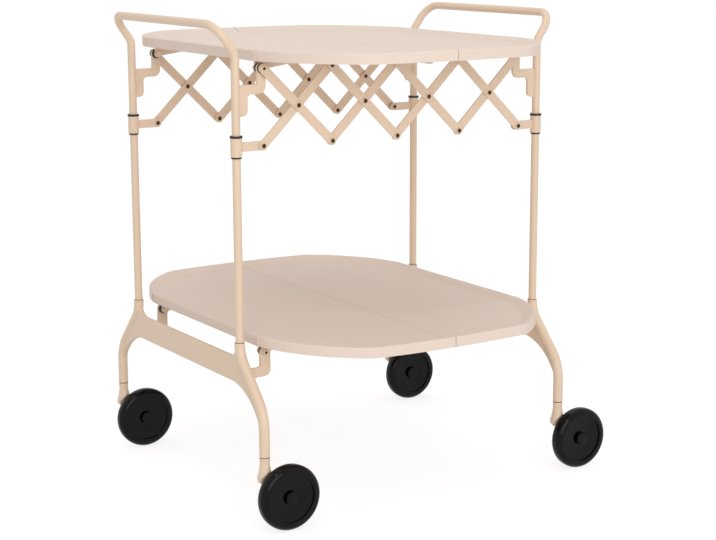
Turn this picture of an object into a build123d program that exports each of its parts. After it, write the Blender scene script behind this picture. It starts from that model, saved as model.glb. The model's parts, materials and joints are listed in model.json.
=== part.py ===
from build123d import *
import os
from math import atan2, cos, degrees, hypot, radians, sqrt, tan

# Folding serving cart. X is the direction it folds, Y runs along the handles,
# Z is up from the floor. The front is the -Y side. All sizes in mm.

# uprights and handles
tube_r = 6.0
tube_x = 260.0
tube_y = 167.0
joint_z = 256.0
socket_depth = 12.0
bar_z = 700.0
bar_out = 28.7
lean_drop = 40.4
lean_bend_r = 21.5
handle_bend_r = 29.0

# pivots of the trays and of the folding lattice
pivot_x = 220.0
top_drop = 61.0
low_pivot_z = 237.0
lattice_h = 107.0
cells = 4

# lattice links
link_w = 13.0
link_t = 2.5
layer_gap = 0.3
rivet_r = 2.5
rivet_head_r = 4.4
rivet_head_h = 1.6
rivet_tail_r = 3.8
rivet_tail_h = 1.1
head_gap = 0.15
head_bevel = 0.6
pin_flange = 1.0

# fits
run_gap = 0.06
slip_gap = 0.08

# pivot bolts, brackets and washers
plate_t = 4.0
bolt_r = 3.0
bolt_head_r = 4.6
bolt_head_h = 2.6
socket_key_r = 2.2
socket_key_depth = 1.6
nut_r = 5.0
nut_t = 3.0
washer_r = 7.0
washer_t = 5.0
eye_r = 7.0
low_eye_r = 8.0

# plates that carry the pivots, as depths under the pivot and widths
neck_trim = 0.5
bracket_top = 22.0
bracket_belly = 13.0
bracket_low = 65.0
bracket_foot_w = 18.0
bracket_corner_r = 2.5
bracket_elbow_r = 11.0
bracket_throat_r = 6.0
bracket_foot_r = 8.0
plate_top = 21.0
plate_low = 34.0
plate_root = 37.0
plate_inner_round = 4.0
plate_outer_round = 9.0

# sliding collars
collar_r = 8.2
collar_h = 26.0
collar_bar_h = 12.8
ring_r = 8.8
ring_h = 3.0
foot_ring_r = 7.4
foot_ring_h = 2.4

# foot castings
leg_r = 7.5
leg_y = 235.0
leg_end_z = 107.0
leg_knee_z = 238.0
leg_ankle_z = 166.0
leg_knee_r = 40.0
leg_ankle_r = 60.0
beam_top_z = 233.0
beam_low_z = 197.0
web_t = 9.0
web_edge_r = 2.5
arch_y = 138.0
rise_in = 1.0
rise_up = 4.0
shin_at = 0.85

# trays
tray_end_x = 233.5
tray_half_w = 326.0
tray_side_r = 1084.0
haunch_y = 126.0
haunch_r = 226.0
haunch_cut = 4.0
shoulder_r_plan = 40.0
tray_low = 10.5
tray_h = 15.0
tray_edge_r = 2.5
rim_lip = 6.0
rim_w = 19.0
rim_drop = 6.0
floor_t = 4.0
skirt_t = 3.0
seam_gap = 1.0
seam_rib = 18.0
notch_r = 2.2
notch_out = 6.2

# tray hinges and straps
hinge_drop = 4.5
knuckle_r = 4.2
hinge_pin_r = 2.0
hinge_leaf = 16.0
leaf_sink = 1.5
hinge_w = 40.0
hinge_mid_w = 13.2
hinge_step = 0.4
hinge_ys = (70.0, 240.0)
strap_t = 4.0
strap_eye_r = 5.5
strap_len = 100.0
strap_tail_h = 5.0

# casters
wheel_r = 47.5
wheel_w = 22.0
wheel_edge_r = 9.0
tread_band = 12.5
dish_depth = 3.0
dish_fall = 2.5
dish_edge_r = 1.2
boss_r = 8.4
boss_drop = 0.8
trail = 29.0
wheel_side = 16.0
stem_gap = 1.4
stem_r = 7.0
neck_h = 9.0
stem_ring_h = 4.5
stem_ring_r = 7.4
flare_z = 71.0
flare_r = 11.2
flare_edge_r = 1.5
shoulder_z = 76.0
shoulder_r = 9.5
arm_end_r = 11.0
arm_t = 12.0
arm_edge_r = 3.0
wheel_gap = 0.8
spigot_r = 4.0
spigot_len = 32.0
axle_r = 4.0
axle_cover = 4.5
axle_end_gap = 1.0

# heights that hang from the handle bars, the middle of each haunch and the wheel's dish
lean_z = bar_z - lean_drop
top_pivot_z = bar_z - top_drop
collar_z = top_pivot_z - lattice_h
haunch_x = tray_end_x - haunch_r + haunch_cut
dish_r = wheel_r - tread_band

# layers outward from the middle of the cart, as distances along Y
plate_in = tube_y - plate_t / 2
plate_out = tube_y + plate_t / 2
b_in = plate_out + layer_gap
b_out = b_in + link_t
a_in = b_out + layer_gap
a_out = a_in + link_t
strap_out = plate_in - washer_t - 2 * layer_gap
strap_in = strap_out - strap_t
pitch = 2 * pivot_x / cells
top_zs = [(-pivot_x + i * pitch, top_pivot_z) for i in range(cells + 1)]
low_zs = [(-pivot_x + i * pitch, collar_z) for i in range(cells + 1)]
link_len = hypot(pitch, lattice_h)
hinge_z = tray_low - hinge_drop

# the origin is under the middle of the whole cart, whose casters trail past the right end
handle_reach = tube_x + bar_out + tube_r
caster_reach = tube_x + trail + wheel_r
cart_x = (handle_reach - caster_reach) / 2


def rod(x, z, near, far, r):
    """A round bar along Y on the front side, from near to far out of the middle."""
    return Pos(x, -(near + far) / 2, z) * Rot(90, 0, 0) * Cylinder(r, far - near)


def slab(profile, near, far):
    """An XZ profile as a plate on the front side, from near to far out of the middle."""
    plane = Plane((0, -near, 0), x_dir=(1, 0, 0), z_dir=(0, -1, 0))
    return extrude(plane * profile, far - near)


def post(x, y, z0, z1, r):
    return Pos(x, y, (z0 + z1) / 2) * Cylinder(r, z1 - z0)


def pair(shape):
    """The front piece and its twin at the rear."""
    return [shape, mirror(shape, about=Plane.XZ)]


def save(node, shapes):
    group = shapes if isinstance(shapes, list) else [shapes]
    solids = [Pos(cart_x, 0, 0) * s for shape in group for s in shape.solids()]
    export_step(solids[0] if len(solids) == 1 else Compound(solids), f"parts/{node}.step")


def bent_path(points, radii):
    """A polyline through the points with an arc of the given radius at each inner corner."""
    pts = [Vector(*p) for p in points]
    edges = []
    start = pts[0]
    for i, r in enumerate(radii, 1):
        u = (pts[i] - pts[i - 1]).normalized()
        v = (pts[i + 1] - pts[i]).normalized()
        half = radians(u.get_angle(v) / 2)
        cut = r * tan(half)
        mid = pts[i] + (v - u).normalized() * (r / cos(half) - r)
        edges.append(Line(start, pts[i] - u * cut))
        edges.append(ThreePointArc(pts[i] - u * cut, mid, pts[i] + v * cut))
        start = pts[i] + v * cut
    edges.append(Line(start, pts[-1]))
    return Wire(edges)


def tube(points, radii, r):
    path = bent_path(points, radii)
    return sweep(Plane(path @ 0, z_dir=path % 0) * Circle(r), path=path)


def hoop(side):
    foot = joint_z - socket_depth
    x0 = side * tube_x
    x1 = side * (tube_x + bar_out)
    points = [(x0, -tube_y, foot), (x0, -tube_y, lean_z), (x1, -tube_y, bar_z)]
    points += [(x, -y, z) for x, y, z in reversed(points)]
    return tube(points, [lean_bend_r, handle_bend_r, handle_bend_r, lean_bend_r], tube_r)


def casting(side):
    """The foot casting: two splayed legs, a flat beam between them and rounded arches."""
    leg = tube(
        [
            (0, -tube_y, joint_z),
            (0, -tube_y, leg_knee_z),
            (0, -leg_y, leg_ankle_z),
            (0, -leg_y, leg_end_z),
        ],
        [leg_knee_r, leg_ankle_r],
        leg_r,
    )
    run = leg_y - tube_y
    fall = leg_knee_z - leg_ankle_z
    inner = (leg_y - leg_r / 2, leg_ankle_z - fall / 3)
    top = Line((0, beam_top_z), (arch_y, beam_top_z))
    rise = ThreePointArc(
        (arch_y, beam_top_z),
        (tube_y - 2 * leg_r + rise_in, beam_top_z + rise_up),
        (tube_y - leg_r / 2, joint_z - socket_depth / 2),
    )
    cap = Line(rise @ 1, (tube_y, leg_knee_z))
    shin_top = (tube_y + shin_at * run, leg_knee_z - shin_at * fall)
    slope = Line((tube_y, leg_knee_z), shin_top)
    shin = Line(slope @ 1, inner)
    arch = ThreePointArc(inner, (tube_y + run / 2, beam_low_z - fall / 4), (arch_y, beam_low_z))
    low = Line((arch_y, beam_low_z), (0, beam_low_z))
    half = [top, rise, cap, slope, shin, arch, low]
    sketch = make_face(half + [mirror(e, about=Plane.YZ) for e in half])
    web = extrude(Plane.YZ * sketch, web_t / 2, both=True)
    rims = [e for e in web.edges() if abs(abs(e.center().X) - web_t / 2) < 0.01]
    web = fillet(rims, web_edge_r)
    body = web + leg + mirror(leg, about=Plane.XZ)
    for y in (-tube_y, tube_y):
        body -= post(0, y, joint_z - socket_depth, joint_z + 1, tube_r)
    for y in (-leg_y, leg_y):
        body -= post(0, y, leg_end_z - 1, leg_end_z + spigot_len + 1, spigot_r + slip_gap)
    return Pos(side * tube_x, 0, 0) * body


def top_bracket():
    """Gooseneck plate on the left upright that carries a top pivot."""
    back = -tube_x + tube_r / 2
    foot = -tube_x + bracket_foot_w
    neck = eye_r - neck_trim
    shelf = top_pivot_z - bracket_top
    belly = shelf - bracket_belly
    low = top_pivot_z - bracket_low
    edge = Polyline(
        (back, shelf),
        (-pivot_x - neck, shelf),
        (-pivot_x - neck, top_pivot_z),
        (-pivot_x + neck, top_pivot_z),
        (-pivot_x + neck, belly),
        (foot, belly),
        (foot, low),
        (back, low),
        close=True,
    )
    rounds = [
        ((-pivot_x - neck, shelf), bracket_corner_r),
        ((-pivot_x + neck, belly), bracket_elbow_r),
        ((foot, belly), bracket_throat_r),
        ((foot, low), bracket_foot_r),
    ]
    face = make_face(edge)
    for corner, r in rounds:
        face = fillet(face.vertices().sort_by_distance(corner)[0], r)
    face += Pos(-pivot_x, top_pivot_z) * Circle(eye_r)
    face -= Pos(-pivot_x, top_pivot_z) * Circle(bolt_r)
    return slab(face, plate_in, plate_out) - post(-tube_x, -tube_y, low - 1, shelf + 1, tube_r)


def low_bracket():
    """L-shaped plate on the left casting that carries a lower pivot."""
    back = -tube_x + web_t / 2
    inner = (-pivot_x - low_eye_r, low_pivot_z - plate_top)
    outer = (-pivot_x + low_eye_r, low_pivot_z - plate_low)
    face = make_face(
        Polyline(
            (back, low_pivot_z - plate_top),
            inner,
            (-pivot_x - low_eye_r, low_pivot_z),
            (-pivot_x + low_eye_r, low_pivot_z),
            outer,
            (back, low_pivot_z - plate_root),
            close=True,
        )
    )
    face = fillet(face.vertices().sort_by_distance(inner)[0], plate_inner_round)
    face = fillet(face.vertices().sort_by_distance(outer)[0], plate_outer_round)
    face += Pos(-pivot_x, low_pivot_z) * Circle(low_eye_r)
    face -= Pos(-pivot_x, low_pivot_z) * Circle(bolt_r)
    return slab(face, plate_in, plate_out)


def key_socket(x, z, face_at):
    hexagon = Pos(x, z) * RegularPolygon(socket_key_r, 6)
    return slab(hexagon, face_at - socket_key_depth, face_at + 1)


def pivot_bolt(x, z, head_at):
    """Cap screw through a pivot: head outside, nut inside the tray strap."""
    nut_at = strap_in - 2 * layer_gap
    shank = rod(x, z, nut_at - nut_t, head_at, bolt_r)
    head = rod(x, z, head_at, head_at + bolt_head_h, bolt_head_r)
    head = chamfer(head.edges().sort_by(Axis.Y)[0], head_bevel)
    nut = slab(Pos(x, z) * RegularPolygon(nut_r, 6), nut_at - nut_t, nut_at)
    return shank + head + nut - key_socket(x, z, head_at + bolt_head_h)


def washer(x, z, near, far):
    return rod(x, z, near, far, washer_r) - rod(x, z, near - 1, far + 1, bolt_r)


def link(start, end, near, holes):
    """A flat lattice bar between two pivots, with a hole radius for start, middle and end."""
    dx = end[0] - start[0]
    dz = end[1] - start[1]
    body = SlotCenterToCenter(link_len, link_w)
    for at, r in zip((-link_len / 2, 0, link_len / 2), holes):
        body -= Pos(at, 0) * Circle(r)
    place = Pos(start[0] + dx / 2, start[1] + dz / 2) * Rot(0, 0, degrees(atan2(dz, dx)))
    return slab(place * body, near, near + link_t)


def rivet(x, z):
    """A rivet through both link layers, with a socket head outside and a flat tail inside."""
    shank = rod(x, z, b_in - head_gap, a_out + head_gap, rivet_r)
    tail = rod(x, z, b_in - head_gap - rivet_tail_h, b_in - head_gap, rivet_tail_r)
    return shank + tail + rivet_head(x, z) - key_socket(x, z, a_out + head_gap + rivet_head_h)


def rivet_head(x, z):
    head = rod(x, z, a_out + head_gap, a_out + head_gap + rivet_head_h, rivet_head_r)
    return chamfer(head.edges().sort_by(Axis.Y)[0], head_bevel)


def outer_stub(x, z):
    """The outer half of a split rivet: head and a shank only as long as the outer link."""
    shank = rod(x, z, a_in, a_out + head_gap, rivet_r)
    return shank + rivet_head(x, z) - key_socket(x, z, a_out + head_gap + rivet_head_h)


def inner_stub(x, z):
    """The inner half of a split rivet: tail and a shank only as long as the inner link."""
    tail = rod(x, z, b_in - head_gap - rivet_tail_h, b_in - head_gap, rivet_tail_r)
    return tail + rod(x, z, b_in - head_gap, b_out, rivet_r)


def collar():
    """Sleeve that slides on the left front upright, with a flat arm to its link pin."""
    arm_face = Pos(-(tube_x + pivot_x) / 2, collar_z) * Rectangle(tube_x - pivot_x, collar_bar_h)
    arm_face += Pos(-pivot_x, collar_z) * Circle(collar_bar_h / 2)
    arm = slab(arm_face, plate_in, plate_out)
    sleeve = post(-tube_x, -tube_y, collar_z - collar_h / 2, collar_z + collar_h / 2, collar_r)
    bore = post(-tube_x, -tube_y, collar_z - collar_h, collar_z + collar_h, tube_r + slip_gap)
    return sleeve + arm - bore - rod(-pivot_x, collar_z, 0, 2 * tube_y, bolt_r)


def collar_rings():
    top = collar_z + collar_h / 2
    low = collar_z - collar_h / 2
    upper = post(-tube_x, -tube_y, top, top + ring_h, ring_r)
    lower = post(-tube_x, -tube_y, low - foot_ring_h, low, foot_ring_r)
    bore = post(-tube_x, -tube_y, low - collar_h, top + collar_h, tube_r + slip_gap)
    return [upper - bore, lower - bore]


def collar_pin(x, head_at):
    shank = rod(x, collar_z, plate_in - rivet_tail_h, head_at, bolt_r)
    tail = rod(x, collar_z, plate_in - rivet_tail_h, plate_in, rivet_tail_r + pin_flange)
    head = rod(x, collar_z, head_at, head_at + rivet_head_h, rivet_head_r)
    head = chamfer(head.edges().sort_by(Axis.Y)[0], head_bevel)
    return shank + tail + head - key_socket(x, collar_z, head_at + rivet_head_h)


def tray_end_y(inset=0.0):
    """How far along its end edge the tray runs before the haunch begins."""
    return haunch_y + sqrt((haunch_r - inset) ** 2 - (tray_end_x - inset - haunch_x) ** 2)


def tray_outline(inset=0.0):
    """Nearly straight long sides, rounded shoulders and haunches in to a straight end."""
    side = Pos(0, tray_half_w - tray_side_r) * Circle(tray_side_r - inset)
    far = 2 * tray_half_w
    shape = side & mirror(side, about=Plane.XZ)
    for sx in (-1, 1):
        lobes = Pos(sx * haunch_x, haunch_y) * Circle(haunch_r - inset)
        lobes += Pos(sx * haunch_x, -haunch_y) * Circle(haunch_r - inset)
        lobes += Rectangle(far, 2 * haunch_y)
        lobes += Pos(-sx * far / 2, 0) * Rectangle(far, far)
        shape &= lobes
    shape &= Rectangle(2 * (tray_end_x - inset), far)
    shape = shape.face()
    shoulders = [v for v in shape.vertices() if abs(v.Y) > (tray_end_y() + tray_half_w) / 2]
    return fillet(shoulders, shoulder_r_plan - inset)


def left_of(x):
    """A block that covers everything to the left of x."""
    room = 4 * tray_half_w
    return Pos(x - room / 2, 0, 0) * Box(room, room, room)


def tray_blank():
    """A whole tray about its pivot height: rim, sloping border, sunk floor and skirt."""
    top = tray_low + tray_h
    body = extrude(Pos(0, 0, tray_low) * tray_outline(), tray_h)
    body = fillet(body.edges().group_by(Axis.Z)[-1], tray_edge_r)
    wide = Pos(0, 0, top) * tray_outline(rim_lip)
    deep = Pos(0, 0, top - rim_drop) * tray_outline(rim_w)
    body -= loft([wide.face(), deep.face()])
    mark_y = tray_end_y() + notch_out
    mark_x = haunch_x + sqrt(haunch_r**2 - (mark_y - haunch_y) ** 2)
    for sx in (-1, 1):
        for sy in (-1, 1):
            body -= post(sx * mark_x, sy * mark_y, 0, 2 * top, notch_r)
    return body


def tray_pocket():
    """The hollow under the left half of a tray."""
    depth = tray_h - rim_drop - floor_t
    return extrude(Pos(0, 0, tray_low) * tray_outline(skirt_t), depth) & left_of(-seam_rib)


def knuckle(y0, y1, side):
    """One hinge knuckle with its leaf set into the seam edge of the left or right half."""
    barrel = Pos(0, (y0 + y1) / 2, hinge_z) * Rot(90, 0, 0) * Cylinder(knuckle_r, y1 - y0)
    near = seam_gap
    leaf = Box(hinge_leaf - near, y1 - y0, hinge_drop + leaf_sink)
    x = side * (hinge_leaf + near) / 2
    return barrel + Pos(x, (y0 + y1) / 2, hinge_z + (hinge_drop + leaf_sink) / 2) * leaf


def hinge_bore(r):
    return Pos(0, 0, hinge_z) * Rot(90, 0, 0) * Cylinder(r, 4 * tray_half_w)


def tray_halves(blank, pocket):
    """The left and the right half, each with its own knuckles of the middle hinges."""
    left = (blank & left_of(-seam_gap / 2)) - pocket
    right = mirror(left, about=Plane.YZ)
    for c in [s * y for s in (-1, 1) for y in hinge_ys]:
        half_mid = hinge_mid_w / 2
        left += knuckle(c - hinge_w / 2, c - half_mid - hinge_step, -1)
        left += knuckle(c + half_mid + hinge_step, c + hinge_w / 2, -1)
        right += knuckle(c - half_mid, c + half_mid, 1)
    return left - hinge_bore(hinge_pin_r), right - hinge_bore(hinge_pin_r + run_gap)


def hinge_pins():
    pins = []
    for c in [s * y for s in (-1, 1) for y in hinge_ys]:
        pins.append(Pos(0, c, hinge_z) * Rot(90, 0, 0) * Cylinder(hinge_pin_r, hinge_w))
    return pins


def strap():
    """Tapered strap under the left end of a tray, with an eye on the pivot bolt."""
    ceiling = tray_low + tray_h - rim_drop - floor_t
    half = strap_eye_r - 1
    tail = -pivot_x + strap_len
    face = make_face(
        Polyline(
            (-pivot_x - half, ceiling),
            (tail, ceiling),
            (tail, ceiling - strap_tail_h),
            (-pivot_x + half, -strap_eye_r / 2),
            (-pivot_x - half, -strap_eye_r / 2),
            close=True,
        )
    )
    face += Pos(-pivot_x, 0) * Circle(strap_eye_r)
    face -= Pos(-pivot_x, 0) * Circle(bolt_r + run_gap)
    return slab(face, strap_in, strap_out)


def caster_stem(x, y):
    """Swivel stem with its spigot, the arm beside the wheel and the axle."""
    top = leg_end_z - stem_gap
    neck = post(0, 0, top - neck_h, top, stem_r) + post(0, 0, top - stem_ring_h, top, stem_ring_r)
    flare = Cone(flare_r, stem_r, top - neck_h - flare_z)
    flare = fillet(flare.edges().group_by(Axis.Z)[0], flare_edge_r)
    flare = Pos(0, 0, (top - neck_h + flare_z) / 2) * flare
    ends = Pos(0, shoulder_z) * Circle(shoulder_r) + Pos(trail, wheel_r) * Circle(arm_end_r)
    inner = wheel_side - wheel_w / 2 - wheel_gap
    arm = slab(make_hull(ends.edges()), inner - arm_t, inner)
    arm = fillet(arm.edges(), arm_edge_r)
    spigot = post(0, 0, shoulder_z, top + spigot_len, spigot_r)
    room = rod(trail, wheel_r, inner, inner + 2 * wheel_w, wheel_r + wheel_gap)
    axle_end = wheel_side + wheel_w / 2 - boss_drop - axle_cover
    axle = rod(trail, wheel_r, inner - arm_t / 2, axle_end, axle_r)
    return Pos(x, y, 0) * (neck + flare + arm - room + spigot + axle)


def wheel(x, y):
    """Moulded wheel with a fat rounded tread, dished faces and a central boss."""
    mid = wheel_side
    lo = mid - wheel_w / 2
    hi = mid + wheel_w / 2
    tyre = rod(trail, wheel_r, lo, hi, wheel_r)
    tyre = fillet(tyre.edges().filter_by(GeomType.CIRCLE), wheel_edge_r)
    sink = Pos(trail, -hi + dish_depth + dish_fall / 2, wheel_r) * Rot(90, 0, 0)
    tyre -= sink * Cone(boss_r, dish_r, dish_fall)
    tyre -= rod(trail, wheel_r, hi - dish_depth, hi + 1, dish_r)
    tyre -= rod(trail, wheel_r, lo - 1, lo + dish_depth, dish_r)
    brim = [e for e in tyre.edges().filter_by(GeomType.CIRCLE) if abs(e.radius - dish_r) < 0.01]
    tyre = fillet([e for e in brim if abs(e.center().Y + hi) < 0.01], dish_edge_r)
    boss = rod(trail, wheel_r, lo, hi - boss_drop, boss_r)
    bore_end = hi - boss_drop - axle_cover + axle_end_gap
    bore = rod(trail, wheel_r, lo - 1, bore_end, axle_r + run_gap)
    return Pos(x, y, 0) * (tyre + boss - bore)


def flip(shapes):
    """The same pieces on the right end of the cart."""
    return [mirror(s, about=Plane.YZ) for s in shapes]


def frame_parts(end, side):
    """Everything fixed to one end frame; the top bolt clamps a different link layer each end."""
    link_in, link_out = (a_in, a_out) if side < 0 else (b_in, b_out)
    tops = pair(top_bracket())
    lows = pair(low_bracket())
    bolts = pair(pivot_bolt(-pivot_x, top_pivot_z, link_out + head_gap))
    bolts += pair(pivot_bolt(-pivot_x, low_pivot_z, plate_out))
    rings = []
    for z in (top_pivot_z, low_pivot_z):
        rings += pair(washer(-pivot_x, z, plate_in - washer_t, plate_in))
    if side < 0:
        rings += pair(washer(-pivot_x, top_pivot_z, plate_out, link_in - head_gap))
    turn = flip if side > 0 else list
    save(f"handle_hoop_{end}", hoop(side))
    save(f"foot_casting_{end}", casting(side))
    save(f"top_brackets_{end}", turn(tops))
    save(f"low_brackets_{end}", turn(lows))
    save(f"pivot_bolts_{end}", turn(bolts))
    save(f"pivot_washers_{end}", turn(rings))


def collar_parts(end, side):
    link_in, link_out = (b_in, b_out) if side < 0 else (a_in, a_out)
    turn = flip if side > 0 else list
    front, rear = turn(pair(collar()))
    save(f"collar_{end}_front", front)
    save(f"collar_{end}_rear", rear)
    rings = [r for ring in collar_rings() for r in pair(ring)]
    if side > 0:
        spacer = rod(-pivot_x, collar_z, plate_out, link_in - head_gap, rivet_head_r + pin_flange)
        rings += pair(spacer - rod(-pivot_x, collar_z, 0, 2 * tube_y, bolt_r))
    save(f"collar_rings_{end}", turn(rings))
    save(f"collar_pins_{end}", turn(pair(collar_pin(-pivot_x, link_out + head_gap))))


def lattice_parts():
    """The links, numbered from the left; a leans down to the right, b leans up."""
    loose = rivet_r + run_gap
    on_bolt = bolt_r + run_gap
    tight = rivet_r
    holes = {
        "a1": (on_bolt, tight, tight),
        "b1": (on_bolt, loose, loose),
        "a2": (tight, tight, tight),
        "b2": (loose, loose, tight),
        "a3": (tight, loose, loose),
        "b3": (tight, tight, tight),
        "a4": (loose, loose, on_bolt),
        "b4": (tight, tight, on_bolt),
    }
    for i in range(cells):
        down = link(top_zs[i], low_zs[i + 1], a_in, holes[f"a{i + 1}"])
        up = link(low_zs[i], top_zs[i + 1], b_in, holes[f"b{i + 1}"])
        for name, bar in ((f"a{i + 1}", down), (f"b{i + 1}", up)):
            front, rear = pair(bar)
            save(f"link_{name}_front", front)
            save(f"link_{name}_rear", rear)
    mid_z = (top_pivot_z + collar_z) / 2
    cross = [(-pivot_x + (i + 0.5) * pitch, mid_z) for i in range(cells)]
    sets = {
        "a1": [rivet(*cross[0]), rivet(*low_zs[1])],
        "a2": [rivet(*top_zs[1]), rivet(*cross[1]), outer_stub(*low_zs[2])],
        "b2": [inner_stub(*top_zs[2])],
        "a3": [outer_stub(*top_zs[2])],
        "b3": [rivet(*top_zs[3]), rivet(*cross[2]), inner_stub(*low_zs[2])],
        "b4": [rivet(*cross[3]), rivet(*low_zs[3])],
    }
    for name, rivets in sets.items():
        save(f"rivets_{name}", [r for one in rivets for r in pair(one)])


def tray_parts(level, z):
    lift = Pos(0, 0, z)
    left, right = tray_halves(tray_blank(), tray_pocket())
    save(f"{level}_tray_left", lift * left)
    save(f"{level}_tray_right", lift * right)
    straps = pair(strap())
    save(f"{level}_straps_left", [lift * s for s in straps])
    save(f"{level}_straps_right", [lift * s for s in flip(straps)])
    save(f"{level}_hinge_pins", [lift * p for p in hinge_pins()])


os.makedirs("parts", exist_ok=True)
for end, side in (("left", -1), ("right", 1)):
    frame_parts(end, side)
    collar_parts(end, side)
    for place, y in (("front", -leg_y), ("rear", leg_y)):
        save(f"caster_stem_{end}_{place}", caster_stem(side * tube_x, y))
        save(f"caster_wheel_{end}_{place}", wheel(side * tube_x, y))
lattice_parts()
tray_parts("top", top_pivot_z)
tray_parts("low", low_pivot_z)
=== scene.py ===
"""Folding serving cart: finishes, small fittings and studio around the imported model."""

import json
import math

import bmesh
import bpy
from bpy.props import FloatProperty, FloatVectorProperty, PointerProperty
from bpy.types import Operator, Panel, PropertyGroup
from mathutils import Matrix, Vector


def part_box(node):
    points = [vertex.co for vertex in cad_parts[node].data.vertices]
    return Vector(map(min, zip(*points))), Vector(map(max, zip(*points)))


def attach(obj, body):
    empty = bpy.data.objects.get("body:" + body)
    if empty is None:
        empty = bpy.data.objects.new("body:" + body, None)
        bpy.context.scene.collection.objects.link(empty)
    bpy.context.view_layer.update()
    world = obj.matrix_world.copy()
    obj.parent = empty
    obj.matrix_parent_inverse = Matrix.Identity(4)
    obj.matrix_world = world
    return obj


bl_info = {
    "name": "Folding serving cart",
    "version": (1, 0, 0),
    "blender": (4, 5, 0),
    "location": "View3D > Sidebar > Cart",
    "description": "Finishes a folding serving cart and sets it in a plain studio",
    "category": "Object",
}

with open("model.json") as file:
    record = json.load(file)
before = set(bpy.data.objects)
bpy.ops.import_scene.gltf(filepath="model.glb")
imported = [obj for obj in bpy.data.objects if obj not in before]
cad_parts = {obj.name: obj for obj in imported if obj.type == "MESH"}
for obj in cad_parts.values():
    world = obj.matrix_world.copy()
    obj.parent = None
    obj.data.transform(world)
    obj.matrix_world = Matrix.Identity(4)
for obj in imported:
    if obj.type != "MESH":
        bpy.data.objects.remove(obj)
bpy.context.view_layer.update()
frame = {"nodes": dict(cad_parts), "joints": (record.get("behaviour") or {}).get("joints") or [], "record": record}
NODES = frame["nodes"]
JOINTS = {joint["name"]: joint for joint in frame["joints"]}
BODIES = frame["record"]["behaviour"]["bodies"]
BODY_OF = {node: body for body, members in BODIES.items() for node in members}
ENDS = ("left", "right")
PLACES = ("front", "rear")

# the upright's radius, how far out its outer side stands, its socket's height and the leg's end
TUBE_R = 0.006
HOOP_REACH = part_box("handle_hoop_left")[1][1]
SOCKET_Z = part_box("foot_casting_left")[1][2]
LEG_END_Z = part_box("foot_casting_left")[0][2]

# half the wheel's width, just over the radius of its boss, how far the boss lies behind the
# tread, and how far it stands out of the dish
WHEEL_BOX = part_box("caster_wheel_left_front")
WHEEL_HALF = (WHEEL_BOX[1][1] - WHEEL_BOX[0][1]) / 2
BOSS_R = 0.0085
BOSS_DROP = 0.0008
BOSS_RISE = 0.0043

# the gap between a leg and its caster, and just over the radius of the spigot in it
STEM_GAP = 0.0014
SPIGOT_R = 0.0042

# the nodes whose fasteners have painted heads with a socket, the farthest that one of them
# reaches, how deep the points of its end face lie, and the least width of a head or tail
HEADED = ("pivot_bolts", "rivets_", "collar_pins")
FASTENER_REACH = 0.02
END_FACE_DEPTH = 0.0003
HEAD_WIDTH = 0.006

# how far a fitting stands off what it sits on, and a ring off the upright and its socket
SEAT_GAP = 0.00003
RING_GAP = 0.0001
RING_SEAT = 0.00005
# the thickness of the dark sheet of painted shade lining a bolt's socket
SOCKET_SHADE_WALL = 0.00012
CORE_SEGMENTS = 24

# the part of a soft noise that a map of its values uses
NOISE_RANGE = (0.3, 0.7)

# the lamps' widths in metres, watts, places and aims
LAMPS = {
    "key_light": (2.4, 35, (-0.8, -3.2, 1.3), (0, 0, 0.4)),
    "left_light": (0.25, 5.0, (-1.2, -1.3, 2.9), (0, 0, 0.3)),
    "top_light": (3.0, 14, (0.2, 0.4, 3.6), (0, 0, 0.4)),
}
# the light that reaches the cart from all round, the floor's half width, and its own light
SURROUND_STRENGTH = 0.72
FLOOR_HALF = 60.0
FLOOR_GLOW = 0.78

# the camera at the photograph's angle: metres, degrees of roll, and millimetres
CAMERA_PLACE = (-1.36125, -2.19488, 0.82613)
CAMERA_AIM = (0.0214, 0, 0.2983)
CAMERA_ROLL = -0.174
CAMERA_LENS = 84.31
CAMERA_SENSOR = 36.0


def linear(code):
    """An sRGB hex colour as linear red, green and blue."""
    values = [int(code[i : i + 2], 16) / 255 for i in (1, 3, 5)]
    return [v / 12.92 if v <= 0.04045 else ((v + 0.055) / 1.055) ** 2.4 for v in values]


def per_metre(millimetres):
    """The texture scale that repeats once in the given length."""
    return 1000 / millimetres


class CartFinishes(PropertyGroup):
    """Colours of the cart's materials."""

    paint: FloatVectorProperty(
        name="Frame paint",
        description="Powder coat on the tubes, castings, links and collars",
        subtype="COLOR",
        min=0,
        max=1,
        default=linear("#E2C9AF"),
    )
    tray: FloatVectorProperty(
        name="Tray",
        description="Satin lacquer on the trays",
        subtype="COLOR",
        min=0,
        max=1,
        default=linear("#E5D3C5"),
    )
    nylon: FloatVectorProperty(
        name="Nylon",
        description="Moulded washers and collar rings",
        subtype="COLOR",
        min=0,
        max=1,
        default=linear("#0F0D0B"),
    )
    wheel: FloatVectorProperty(
        name="Wheel",
        description="Moulded wheels",
        subtype="COLOR",
        min=0,
        max=1,
        default=linear("#080706"),
    )
    # in the pivot bolts' sockets this dark colour is painted shade
    steel: FloatVectorProperty(
        name="Fasteners",
        description="Blackened rivet buttons, bolt sockets and hinge pins",
        subtype="COLOR",
        min=0,
        max=1,
        default=linear("#4A3B2C"),
    )
    # on the rings where the uprights enter the castings this brown is painted shade of the gap at the joint
    bronze: FloatVectorProperty(
        name="Bronze",
        description="Swivel washers and socket rings",
        subtype="COLOR",
        min=0,
        max=1,
        default=linear("#8A6C50"),
    )


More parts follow.
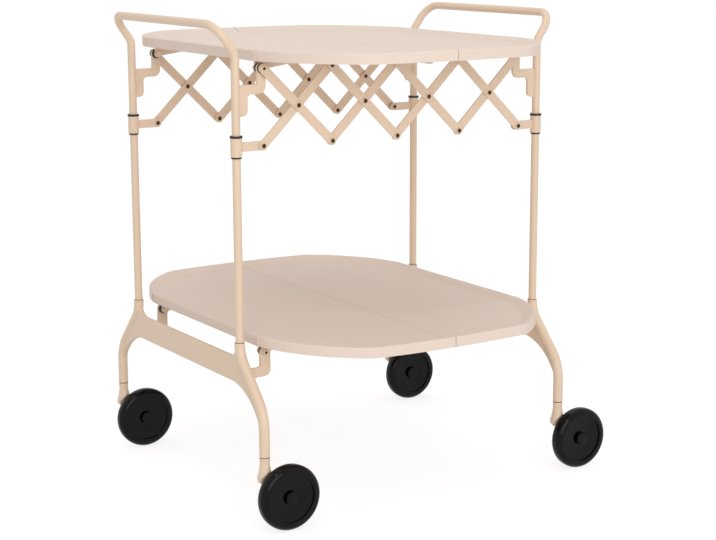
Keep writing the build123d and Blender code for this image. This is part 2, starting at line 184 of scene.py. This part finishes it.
class CartSizes(PropertyGroup):
    """Sizes of the small fittings."""

    # the ring where an upright enters its casting is a thin band of painted shade
    ring_height: FloatProperty(
        name="Socket ring height",
        description="Height of the ring where an upright enters the casting",
        subtype="DISTANCE",
        unit="LENGTH",
        default=0.0008,
    )
    ring_width: FloatProperty(
        name="Socket ring width",
        description="How far the ring stands out from the upright",
        subtype="DISTANCE",
        unit="LENGTH",
        default=0.0005,
    )
    washer_radius: FloatProperty(
        name="Swivel washer radius",
        description="Outer radius of the washer between a leg and its caster",
        subtype="DISTANCE",
        unit="LENGTH",
        default=0.0071,
    )
    washer_height: FloatProperty(
        name="Swivel washer height",
        description="Height of the washer between a leg and its caster",
        subtype="DISTANCE",
        unit="LENGTH",
        default=0.0011,
    )
    button_radius: FloatProperty(
        name="Rivet button radius",
        description="Radius of the dark button in the middle of a rivet",
        subtype="DISTANCE",
        unit="LENGTH",
        default=0.0032,
    )
    button_height: FloatProperty(
        name="Rivet button height",
        description="How far the dark button stands out of its rivet",
        subtype="DISTANCE",
        unit="LENGTH",
        default=0.0007,
    )
    # the dark sheet in a pivot bolt's socket is painted shade
    socket_radius: FloatProperty(
        name="Bolt socket radius",
        description="Radius of the dark liner in the socket of a pivot bolt",
        subtype="DISTANCE",
        unit="LENGTH",
        default=0.0021,
    )
    socket_depth: FloatProperty(
        name="Bolt socket depth",
        description="Depth of the dark liner in the socket of a pivot bolt",
        subtype="DISTANCE",
        unit="LENGTH",
        default=0.0010,
    )
    cap_radius: FloatProperty(
        name="Hub cap radius",
        description="Radius of the cap over the axle",
        subtype="DISTANCE",
        unit="LENGTH",
        default=0.0095,
    )
    cap_height: FloatProperty(
        name="Hub cap height",
        description="Height of the cap over the boss",
        subtype="DISTANCE",
        unit="LENGTH",
        default=0.0007,
    )


def finishes():
    """The scene's colours."""
    return bpy.context.scene.cart_finishes


def sizes():
    """The scene's sizes."""
    return bpy.context.scene.cart_sizes


def add_node(tree, kind, settings=(), links=()):
    """Adds a shader node, gives it its settings and feeds its inputs from other sockets."""
    node = tree.nodes.new(kind)
    for key, value in dict(settings).items():
        if isinstance(key, str) and hasattr(node, key):
            setattr(node, key, value)
        else:
            node.inputs[key].default_value = value
    for key, source in dict(links).items():
        tree.links.new(source, node.inputs[key])
    return node


def new_surface(name):
    """An empty material and its object coordinates."""
    material = bpy.data.materials.new(name)
    material.use_nodes = True
    tree = material.node_tree
    tree.nodes.clear()
    place = add_node(tree, "ShaderNodeTexCoord").outputs["Object"]
    return material, tree, place


def shades(colour, low, high):
    """The settings of a mix between a darker and a lighter shade of one colour."""
    dark, light = ([c * k for c in colour] + [1] for k in (low, high))
    return {"data_type": "RGBA", 6: dark, 7: light}


def band(low, high):
    """The settings of a map from soft noise to the range from low to high."""
    least, most = NOISE_RANGE
    return {"From Min": least, "From Max": most, "To Min": low, "To Max": high}


def powder_coat():
    """Powder coat baked on steel: satin, with the soft orange peel of melted powder."""
    material, tree, place = new_surface("powder_coated_steel")
    drift = add_node(
        tree, "ShaderNodeTexNoise", {"Scale": per_metre(60), "Detail": 2.0}, {"Vector": place}
    )
    # the peel is about 1 mm across and is drawn at 2.5 mm so that it shows
    peel = add_node(
        tree, "ShaderNodeTexNoise", {"Scale": per_metre(2.5), "Detail": 2.0}, {"Vector": place}
    )
    tone = add_node(
        tree, "ShaderNodeMix", shades(finishes().paint, 0.965, 1.03), {0: drift.outputs["Fac"]}
    )
    gloss = add_node(
        tree, "ShaderNodeMapRange", band(0.34, 0.44), {"Value": peel.outputs["Fac"]}
    )
    waves = add_node(
        tree,
        "ShaderNodeBump",
        {"Strength": 0.25, "Distance": 0.00005},
        {"Height": peel.outputs["Fac"]},
    )
    shader = add_node(
        tree,
        "ShaderNodeBsdfPrincipled",
        {"IOR": 1.5},
        {
            "Base Color": tone.outputs[2],
            "Roughness": gloss.outputs["Result"],
            "Normal": waves.outputs["Normal"],
        },
    )
    add_node(tree, "ShaderNodeOutputMaterial", (), {"Surface": shader.outputs["BSDF"]})
    return material


def tray_lacquer():
    """Lacquered board: a satin film with a very fine sprayed grain and faint clouding."""
    material, tree, place = new_surface("satin_lacquered_tray")
    cloud = add_node(
        tree, "ShaderNodeTexNoise", {"Scale": per_metre(140), "Detail": 2.0}, {"Vector": place}
    )
    # the spray's grain is about 0.5 mm across and is drawn at 1.6 mm so that it shows
    grain = add_node(
        tree, "ShaderNodeTexNoise", {"Scale": per_metre(1.6), "Detail": 2.0}, {"Vector": place}
    )
    tone = add_node(
        tree, "ShaderNodeMix", shades(finishes().tray, 0.97, 1.02), {0: cloud.outputs["Fac"]}
    )
    gloss = add_node(
        tree, "ShaderNodeMapRange", band(0.50, 0.58), {"Value": cloud.outputs["Fac"]}
    )
    film = add_node(
        tree,
        "ShaderNodeBump",
        {"Strength": 0.2, "Distance": 0.00002},
        {"Height": grain.outputs["Fac"]},
    )
    shader = add_node(
        tree,
        "ShaderNodeBsdfPrincipled",
        {"IOR": 1.48, "Specular IOR Level": 0.35},
        {
            "Base Color": tone.outputs[2],
            "Roughness": gloss.outputs["Result"],
            "Normal": film.outputs["Normal"],
        },
    )
    add_node(tree, "ShaderNodeOutputMaterial", (), {"Surface": shader.outputs["BSDF"]})
    return material


def moulded_nylon():
    """Black nylon from the mould: matt, with a slight grain."""
    material, tree, place = new_surface("moulded_nylon")
    grain = add_node(
        tree, "ShaderNodeTexNoise", {"Scale": per_metre(0.8), "Detail": 2.0}, {"Vector": place}
    )
    tone = add_node(
        tree, "ShaderNodeMix", shades(finishes().nylon, 0.8, 1.25), {0: grain.outputs["Fac"]}
    )
    gloss = add_node(
        tree, "ShaderNodeMapRange", band(0.45, 0.6), {"Value": grain.outputs["Fac"]}
    )
    pits = add_node(
        tree,
        "ShaderNodeBump",
        {"Strength": 0.3, "Distance": 0.00003},
        {"Height": grain.outputs["Fac"]},
    )
    shader = add_node(
        tree,
        "ShaderNodeBsdfPrincipled",
        {"IOR": 1.53},
        {
            "Base Color": tone.outputs[2],
            "Roughness": gloss.outputs["Result"],
            "Normal": pits.outputs["Normal"],
        },
    )
    add_node(tree, "ShaderNodeOutputMaterial", (), {"Surface": shader.outputs["BSDF"]})
    return material


def wheel_polymer():
    """Hard black polyurethane: a polished mould's gloss, dulled in patches by handling."""
    material, tree, place = new_surface("moulded_polyurethane_wheel")
    scuff = add_node(
        tree, "ShaderNodeTexNoise", {"Scale": per_metre(14), "Detail": 4.0}, {"Vector": place}
    )
    tone = add_node(
        tree, "ShaderNodeMix", shades(finishes().wheel, 0.85, 1.3), {0: scuff.outputs["Fac"]}
    )
    gloss = add_node(
        tree, "ShaderNodeMapRange", band(0.07, 0.12), {"Value": scuff.outputs["Fac"]}
    )
    shader = add_node(
        tree,
        "ShaderNodeBsdfPrincipled",
        {"IOR": 1.5, "Specular IOR Level": 0.16},
        {"Base Color": tone.outputs[2], "Roughness": gloss.outputs["Result"]},
    )
    add_node(tree, "ShaderNodeOutputMaterial", (), {"Surface": shader.outputs["BSDF"]})
    return material


def tumbled_metal(name, colour, rough):
    """Metal tumbled smooth before its finish: a soft shine with fine mottling."""
    material, tree, place = new_surface(name)
    mottle = add_node(
        tree, "ShaderNodeTexNoise", {"Scale": per_metre(1.2), "Detail": 2.0}, {"Vector": place}
    )
    tone = add_node(
        tree, "ShaderNodeMix", shades(colour, 0.85, 1.1), {0: mottle.outputs["Fac"]}
    )
    gloss = add_node(
        tree, "ShaderNodeMapRange", band(rough, rough + 0.15), {"Value": mottle.outputs["Fac"]}
    )
    shader = add_node(
        tree,
        "ShaderNodeBsdfPrincipled",
        {"Metallic": 1.0},
        {"Base Color": tone.outputs[2], "Roughness": gloss.outputs["Result"]},
    )
    add_node(tree, "ShaderNodeOutputMaterial", (), {"Surface": shader.outputs["BSDF"]})
    return material


def blackened_steel_and_socket_shade():
    """Oxide-blackened steel: dark brown, with a low shine, on the hinge pins and rivet buttons, and painted shade
    where it lines the pivot bolts' sockets.
    """
    return tumbled_metal("blackened_steel_and_socket_shade", finishes().steel, 0.34)


def sintered_bronze_and_joint_shade():
    """Oil-filled sintered bronze: brown and nearly matt, on the swivel washers, and painted shade on the rings
    where the uprights enter the castings.
    """
    return tumbled_metal("sintered_bronze_and_joint_shade", finishes().bronze, 0.5)


def paint_nodes(material, names):
    """Gives the named CAD nodes one material."""
    for name in names:
        node = NODES[name]
        node.data.materials.clear()
        node.data.materials.append(material)


def nodes_starting(*starts):
    """The names of the CAD nodes that begin with any of the given words."""
    names = [name for name in NODES if name.startswith(starts)]
    if not names:
        raise RuntimeError(f"no node begins with any of {starts}")
    return names


def turned(name, outline, places, segments=64):
    """Pieces turned from one outline of radius and height pairs, one at each place."""
    mesh = bpy.data.meshes.new(name)
    bm = bmesh.new()
    for place in places:
        ring = [bm.verts.new((r, 0, z)) for r, z in outline]
        edges = [bm.edges.new(pair) for pair in zip(ring, ring[1:] + ring[:1])]
        bmesh.ops.spin(
            bm,
            geom=ring + edges,
            cent=(0, 0, 0),
            axis=(0, 0, 1),
            angle=2 * math.pi,
            steps=segments,
            use_merge=True,
        )
        fresh = [v for v in bm.verts if not v.tag]
        bmesh.ops.transform(bm, matrix=place, verts=fresh)
        for vertex in fresh:
            vertex.tag = True
    bmesh.ops.remove_doubles(bm, verts=bm.verts, dist=1e-6)
    bmesh.ops.recalc_face_normals(bm, faces=bm.faces)
    for face in bm.faces:
        face.smooth = True
    bm.to_mesh(mesh)
    bm.free()
    piece = bpy.data.objects.new(name, mesh)
    bpy.context.scene.collection.objects.link(piece)
    return piece


def facing(at, side):
    """A place whose own height points out of the cart's front, side -1, or rear, side 1."""
    return Matrix.Translation(at) @ Matrix.Rotation(math.radians(-90 * side), 4, "X")


def end_places(node, outward):
    """The middle of each fastener's outer face in a node, or of its inner face."""
    groups = []
    for vertex in NODES[node].data.vertices:
        at = vertex.co
        for group in groups:
            first = group[0]
            near = math.hypot(at.x - first.x, at.z - first.z) < FASTENER_REACH
            if near and at.y * first.y > 0:
                group.append(at)
                break
        else:
            groups.append([at])
    places = []
    for group in groups:
        side = math.copysign(1, group[0].y) * (1 if outward else -1)
        face = max(side * at.y for at in group)
        rim = [at for at in group if side * at.y > face - END_FACE_DEPTH]
        low = Vector([min(at[i] for at in rim) for i in range(3)])
        high = Vector([max(at[i] for at in rim) for i in range(3)])
        # the open end of a split rivet is its bare shank, thinner than any head or tail
        if high.x - low.x > HEAD_WIDTH:
            middle = (low + high) / 2
            places.append(facing((middle.x, side * face, middle.z), side))
    return places


class CART_OT_frame(Operator):
    """Powder coat on everything that carries the cart"""

    bl_idname = "cart.frame"
    bl_label = "Painted frame"

    def execute(self, context):
        starts = ("handle_hoop", "foot_casting", "top_brackets", "low_brackets", "link_")
        starts += ("collar_left", "collar_right", "caster_stem", "top_straps", "low_straps")
        paint_nodes(powder_coat(), nodes_starting(*starts, *HEADED))
        return {"FINISHED"}


class CART_OT_trays(Operator):
    """Satin lacquer on both trays"""

    bl_idname = "cart.trays"
    bl_label = "Trays"

    def execute(self, context):
        paint_nodes(tray_lacquer(), nodes_starting("top_tray", "low_tray"))
        return {"FINISHED"}


class CART_OT_nylon(Operator):
    """Black washers and collar rings"""

    bl_idname = "cart.nylon"
    bl_label = "Washers and rings"

    def execute(self, context):
        paint_nodes(moulded_nylon(), nodes_starting("pivot_washers", "collar_rings"))
        return {"FINISHED"}


class CART_OT_fasteners(Operator):
    """Blackened hinge pins, dark rivet buttons, and painted shade in the sockets of painted bolts"""

    bl_idname = "cart.fasteners"
    bl_label = "Fasteners"

    def execute(self, context):
        steel = blackened_steel_and_socket_shade()
        paint_nodes(steel, nodes_starting("top_hinge", "low_hinge"))
        wide, tall = sizes().button_radius, sizes().button_height
        button = [(0.0, SEAT_GAP), (wide, SEAT_GAP), (wide * 0.96, tall * 0.5)]
        button += [(wide * 0.75, tall * 0.85), (wide * 0.4, tall), (0.0, tall)]
        # painted shade: a dark sheet set into each pivot bolt's socket, where only the socket's own shade falls
        hole, deep = sizes().socket_radius, sizes().socket_depth
        under, lip = -deep - SOCKET_SHADE_WALL, SOCKET_SHADE_WALL
        painted_shade = [(0.0, under), (hole * 0.8, under), (hole * 0.85, SEAT_GAP), (hole, SEAT_GAP)]
        painted_shade += [(hole, lip), (hole * 0.8, lip), (hole * 0.7, -deep), (0.0, -deep)]
        for node in nodes_starting(*HEADED):
            outline, places = painted_shade, end_places(node, True)
            if not node.startswith("pivot_bolts"):
                outline, places = button, places + end_places(node, False)
            if not places:
                raise RuntimeError(f"no head or tail was found in {node}")
            cores = turned(f"{node}_cores", outline, places, CORE_SEGMENTS)
            cores.data.materials.append(steel)
            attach(cores, BODY_OF[node])
        return {"FINISHED"}


class CART_OT_wheels(Operator):
    """Black wheels, each with a crowned cap over its axle"""

    bl_idname = "cart.wheels"
    bl_label = "Wheels"

    def execute(self, context):
        polymer = wheel_polymer()
        paint_nodes(polymer, nodes_starting("caster_wheel"))
        radius, height = sizes().cap_radius, sizes().cap_height
        # a cup over the boss: its inside first, then the skirt and the crown
        outline = [(0.0, SEAT_GAP), (BOSS_R, SEAT_GAP), (BOSS_R, -BOSS_RISE), (radius, -BOSS_RISE)]
        outline += [(radius, -height * 0.4), (radius * 0.97, height * 0.3)]
        outline += [(radius * 0.91, height * 0.75), (radius * 0.6, height), (0.0, height)]
        for end in ENDS:
            for place in PLACES:
                hub = Vector(JOINTS[f"roll_{end}_{place}"]["pos_m"])
                side = math.copysign(1, hub.y - JOINTS[f"swivel_{end}_{place}"]["pos_m"][1])
                hub.y += side * (WHEEL_HALF - BOSS_DROP)
                cap = turned(f"hub_cap_{end}_{place}", outline, [facing(hub, side)])
                cap.data.materials.append(polymer)
                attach(cap, f"wheel_{end}_{place}")
        return {"FINISHED"}


class CART_OT_rings(Operator):
    """Brown rings of painted shade where the uprights enter the castings, and brown washers where the casters turn
    """

    bl_idname = "cart.rings"
    bl_label = "Rings and swivel washers"

    def execute(self, context):
        bronze = sintered_bronze_and_joint_shade()
        # the ring at the socket is painted shade: a thin brown ring that stands in for the shadowed gap where an
        # upright enters its casting
        tall, wide = sizes().ring_height, sizes().ring_width
        bore, outer = TUBE_R + RING_GAP, TUBE_R + wide
        ring = [(bore, RING_SEAT), (outer, RING_SEAT), (outer, tall * 0.7)]
        ring += [(TUBE_R + wide * 0.7, tall), (bore, tall)]
        brim, thick = sizes().washer_radius, sizes().washer_height
        gap = (STEM_GAP - thick) / 2
        washer = [(SPIGOT_R, gap), (brim, gap), (brim, gap + thick), (SPIGOT_R, gap + thick)]
        for end in ENDS:
            for place, side in zip(PLACES, (-1, 1)):
                swivel = Vector(JOINTS[f"swivel_{end}_{place}"]["pos_m"])
                at_socket = Vector((swivel.x, side * (HOOP_REACH - TUBE_R), SOCKET_Z))
                at_leg = Vector((swivel.x, swivel.y, LEG_END_Z - STEM_GAP))
                for name, outline, at in (
                    (f"socket_shade_ring_{end}_{place}", ring, at_socket),
                    (f"swivel_washer_{end}_{place}", washer, at_leg),
                ):
                    piece = turned(name, outline, [Matrix.Translation(at)])
                    piece.data.materials.append(bronze)
                    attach(piece, f"{end}_frame")
        return {"FINISHED"}


def lamp(name, size, energy, place, aim):
    """A round lamp at a place, turned to its aim."""
    data = bpy.data.lights.new(name, "AREA")
    data.shape = "DISK"
    data.size = size
    data.energy = energy
    light = bpy.data.objects.new(name, data)
    light.location = place
    light.rotation_euler = (Vector(aim) - Vector(place)).to_track_quat("-Z", "Y").to_euler()
    bpy.context.scene.collection.objects.link(light)


def seen_directly(tree):
    """1 for what the camera sees itself, by reflection or through glass, else 0."""
    path = add_node(tree, "ShaderNodeLightPath")
    either = add_node(
        tree,
        "ShaderNodeMath",
        {"operation": "MAXIMUM"},
        {0: path.outputs["Is Camera Ray"], 1: path.outputs["Is Glossy Ray"]},
    ).outputs[0]
    return add_node(
        tree,
        "ShaderNodeMath",
        {"operation": "MAXIMUM"},
        {0: either, 1: path.outputs["Is Transmission Ray"]},
    ).outputs[0]


def studio_floor():
    """Matt white paper, with part of its light its own where it is seen, so it stays white."""
    material = bpy.data.materials.new("studio_floor")
    material.use_nodes = True
    tree = material.node_tree
    tree.nodes.clear()
    paper = add_node(tree, "ShaderNodeBsdfDiffuse", {"Color": linear("#E9E9E9") + [1]})
    shown = add_node(tree, "ShaderNodeBsdfDiffuse", {"Color": linear("#9A9A9A") + [1]})
    glow = add_node(tree, "ShaderNodeEmission", {"Strength": FLOOR_GLOW})
    both = add_node(
        tree, "ShaderNodeAddShader", (), {0: shown.outputs[0], 1: glow.outputs[0]}
    )
    mixed = add_node(
        tree,
        "ShaderNodeMixShader",
        (),
        {0: seen_directly(tree), 1: paper.outputs[0], 2: both.outputs[0]},
    )
    add_node(tree, "ShaderNodeOutputMaterial", (), {"Surface": mixed.outputs[0]})
    return material


class CART_OT_studio(Operator):
    """Pale floor, soft light and the camera at the photograph's angle"""

    bl_idname = "cart.studio"
    bl_label = "Studio"

    def execute(self, context):
        scene = context.scene
        scene.view_settings.view_transform = "Standard"
        world = bpy.data.worlds.new("studio")
        scene.world = world
        world.use_nodes = True
        tree = world.node_tree
        tree.nodes.clear()
        soft = add_node(tree, "ShaderNodeBackground", {"Strength": SURROUND_STRENGTH})
        white = add_node(tree, "ShaderNodeBackground", {"Strength": 1.0})
        for node in (soft, white):
            node.inputs["Color"].default_value = (1, 1, 1, 1)
        mixed = add_node(
            tree,
            "ShaderNodeMixShader",
            (),
            {0: seen_directly(tree), 1: soft.outputs[0], 2: white.outputs[0]},
        )
        add_node(tree, "ShaderNodeOutputWorld", (), {"Surface": mixed.outputs[0]})

        mesh = bpy.data.meshes.new("studio_floor")
        wide = FLOOR_HALF
        corners = [(-wide, -wide, 0), (wide, -wide, 0), (wide, wide, 0), (-wide, wide, 0)]
        mesh.from_pydata(corners, [], [(0, 1, 2, 3)])
        mesh.materials.append(studio_floor())
        floor = bpy.data.objects.new("studio_floor", mesh)
        scene.collection.objects.link(floor)

        for name, settings in LAMPS.items():
            lamp(name, *settings)

        data = bpy.data.cameras.new("photo_camera")
        data.sensor_fit = "HORIZONTAL"
        data.sensor_width = CAMERA_SENSOR
        data.lens = CAMERA_LENS
        camera = bpy.data.objects.new("photo_camera", data)
        camera.location = CAMERA_PLACE
        aim = Vector(CAMERA_AIM) - camera.location
        level = aim.to_track_quat("-Z", "Y").to_matrix().to_4x4()
        roll = Matrix.Rotation(math.radians(CAMERA_ROLL), 4, "Z")
        camera.rotation_euler = (level @ roll).to_euler()
        scene.collection.objects.link(camera)
        scene.camera = camera
        return {"FINISHED"}


OPERATORS = (
    CART_OT_frame,
    CART_OT_trays,
    CART_OT_nylon,
    CART_OT_fasteners,
    CART_OT_wheels,
    CART_OT_rings,
    CART_OT_studio,
)


class CART_PT_panel(Panel):
    """Lists the cart's sizes, colours and pieces"""

    bl_idname = "CART_PT_panel"
    bl_label = "Serving cart"
    bl_space_type = "VIEW_3D"
    bl_region_type = "UI"
    bl_category = "Cart"

    def draw(self, context):
        for group in (context.scene.cart_finishes, context.scene.cart_sizes):
            for key in group.bl_rna.properties.keys():
                if key not in ("rna_type", "name"):
                    self.layout.prop(group, key)
        for operator in OPERATORS:
            self.layout.operator(operator.bl_idname)


CLASSES = (CartFinishes, CartSizes) + OPERATORS + (CART_PT_panel,)


def register():
    for cls in CLASSES:
        bpy.utils.register_class(cls)
    bpy.types.Scene.cart_finishes = PointerProperty(type=CartFinishes)
    bpy.types.Scene.cart_sizes = PointerProperty(type=CartSizes)


def unregister():
    del bpy.types.Scene.cart_sizes
    del bpy.types.Scene.cart_finishes
    for cls in reversed(CLASSES):
        bpy.utils.unregister_class(cls)


def main():
    register()
    bpy.ops.cart.frame()
    bpy.ops.cart.trays()
    bpy.ops.cart.nylon()
    bpy.ops.cart.fasteners()
    bpy.ops.cart.wheels()
    bpy.ops.cart.rings()
    bpy.ops.cart.studio()


if __name__ == "__main__":
    main()
